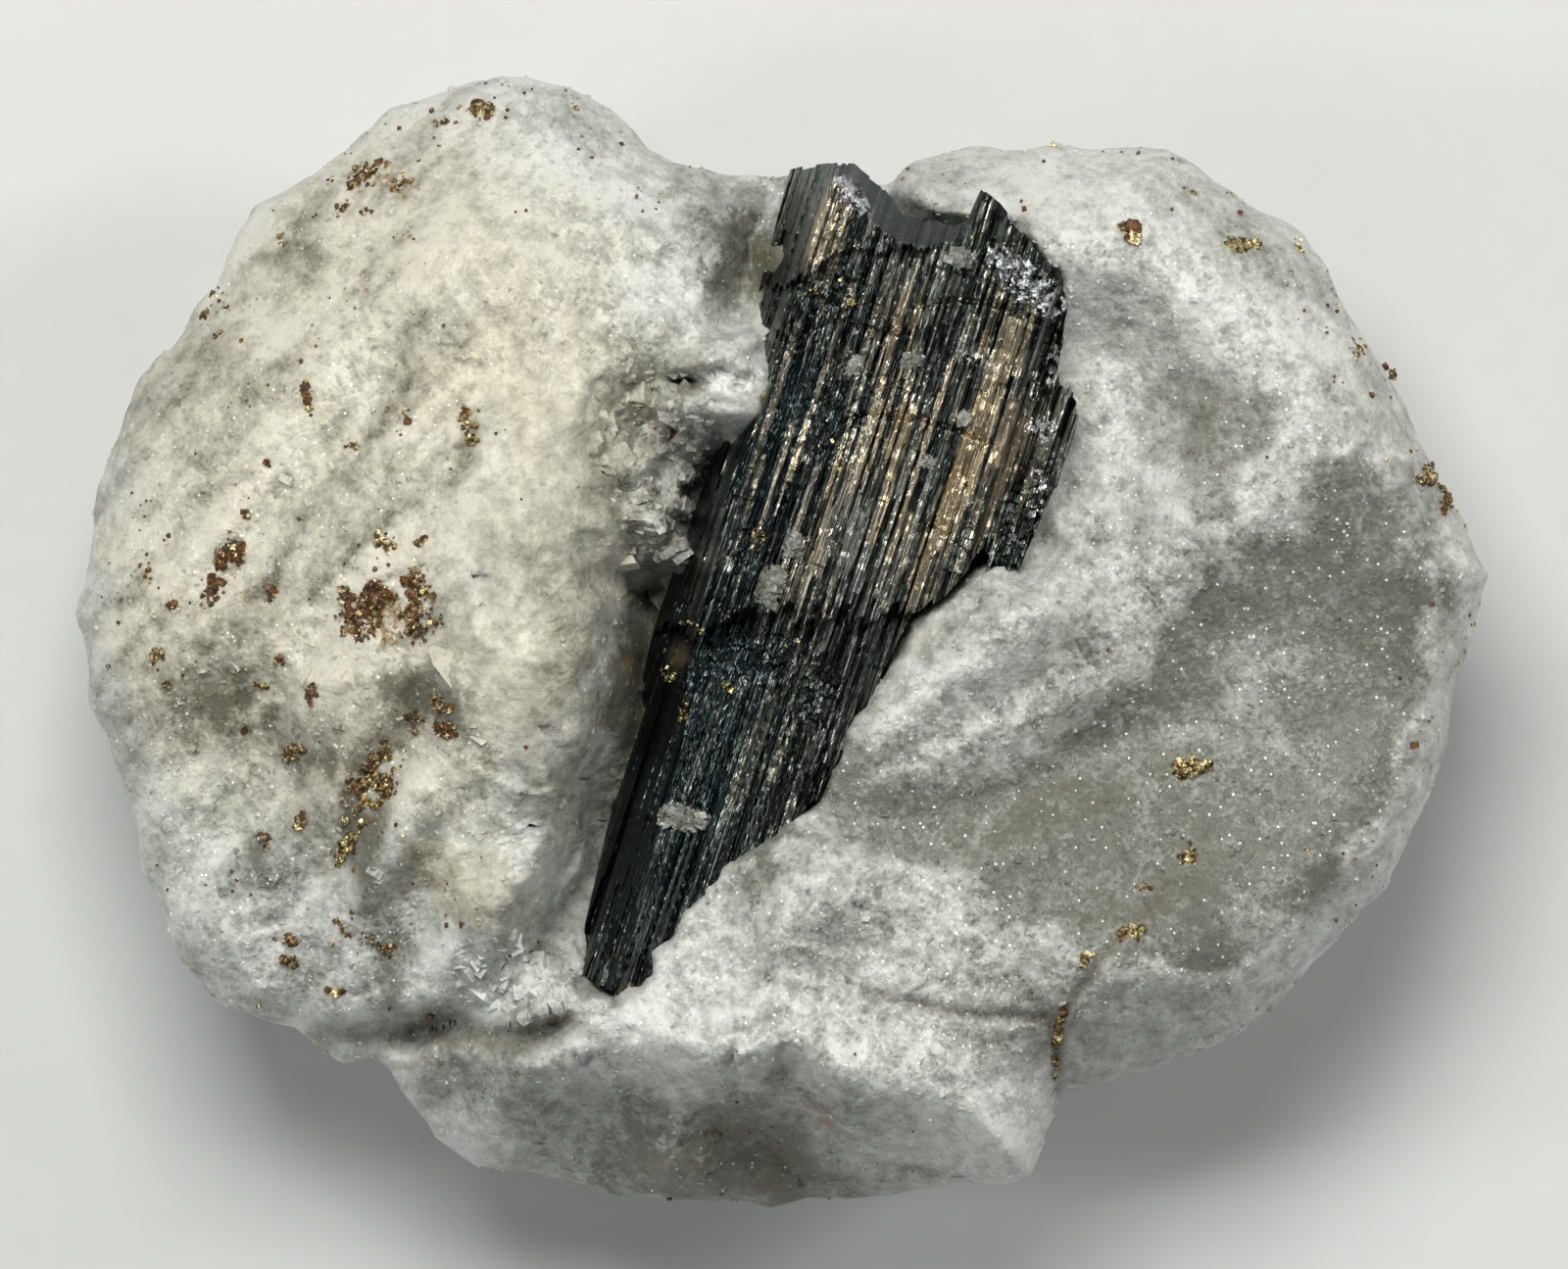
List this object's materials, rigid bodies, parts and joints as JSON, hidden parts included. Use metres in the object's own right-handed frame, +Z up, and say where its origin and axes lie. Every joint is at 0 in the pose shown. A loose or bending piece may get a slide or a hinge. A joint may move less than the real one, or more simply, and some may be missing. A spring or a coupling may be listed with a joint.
{
  "type": "mineral specimen",
  "caption": "Dark striated metallic crystal lying diagonally in a trough across a white sugary rock with small brassy grains.",
  "frame": {"origin": "middle of the flat base, under the centre of the whole specimen's bounding box", "axes": "+Z up from the base to the face that carries the crystal, +X along the longest side, +Y up the specimen's face towards the crystal's broad end"},
  "size_m": [0.0298, 0.0238, 0.0145],
  "materials": {
    "dolomite": "sugary, matt with glinting grains",
    "rathite": "dark grey metallic lustre, striated lengthwise",
    "pyrite": "brassy metallic, partly tarnished rust brown"
  },
  "bodies": {
    "root": {"dolomite_matrix": "dolomite", "rathite_crystal": "rathite", "pyrite_crest_grain": "pyrite", "pyrite_upper_cluster": "pyrite", "pyrite_west_lump": "pyrite", "pyrite_middle_patch": "pyrite", "pyrite_lower_chain": "pyrite", "pyrite_crystal_foot": "pyrite", "pyrite_round_grain": "pyrite", "pyrite_bright_block": "pyrite", "pyrite_north_rim_grain": "pyrite", "pyrite_east_rim_grain": "pyrite", "pyrite_bowl_cluster": "pyrite", "pyrite_bowl_grain": "pyrite", "pyrite_crack_grain": "pyrite", "pyrite_joint_grain": "pyrite"}
  },
  "joints": []
}
